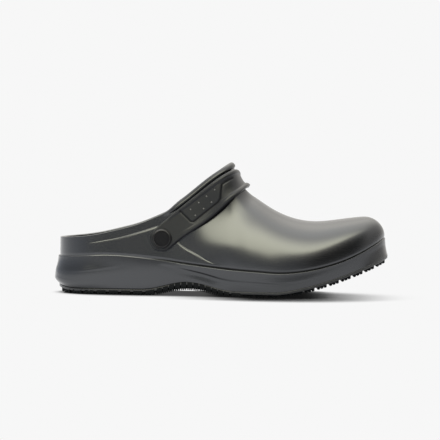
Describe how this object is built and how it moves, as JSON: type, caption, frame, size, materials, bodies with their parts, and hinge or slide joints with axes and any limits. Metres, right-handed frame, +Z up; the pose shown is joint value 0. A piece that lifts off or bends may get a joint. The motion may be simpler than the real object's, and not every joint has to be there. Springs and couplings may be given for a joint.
{
  "type": "work clog",
  "caption": "Closed-toe slip-on work clog moulded in black foam, with a lugged rubber outsole and a soft heel strap turned forward over the instep and held by round rivets.",
  "frame": {"origin": "on the floor under the middle of the shoe's box", "axes": "+X from heel to toe, +Y to the medial side, +Z up"},
  "size_m": [0.2894, 0.1133, 0.1128],
  "materials": {
    "foam": "satin moulded foam",
    "outsole_rubber": "matt rubber",
    "liner": "brushed cloth over foam",
    "strap_foam": "satin moulded foam",
    "rivet_plastic": "semi-gloss moulded plastic",
    "badge_plastic": "polished"
  },
  "bodies": {
    "root": {"shell": "foam", "outsole": "outsole_rubber", "insole": "liner", "heel_strap": "strap_foam", "rivet_lateral": "rivet_plastic", "rivet_medial": "rivet_plastic", "badge_lateral": "badge_plastic", "badge_medial": "badge_plastic"}
  },
  "joints": []
}
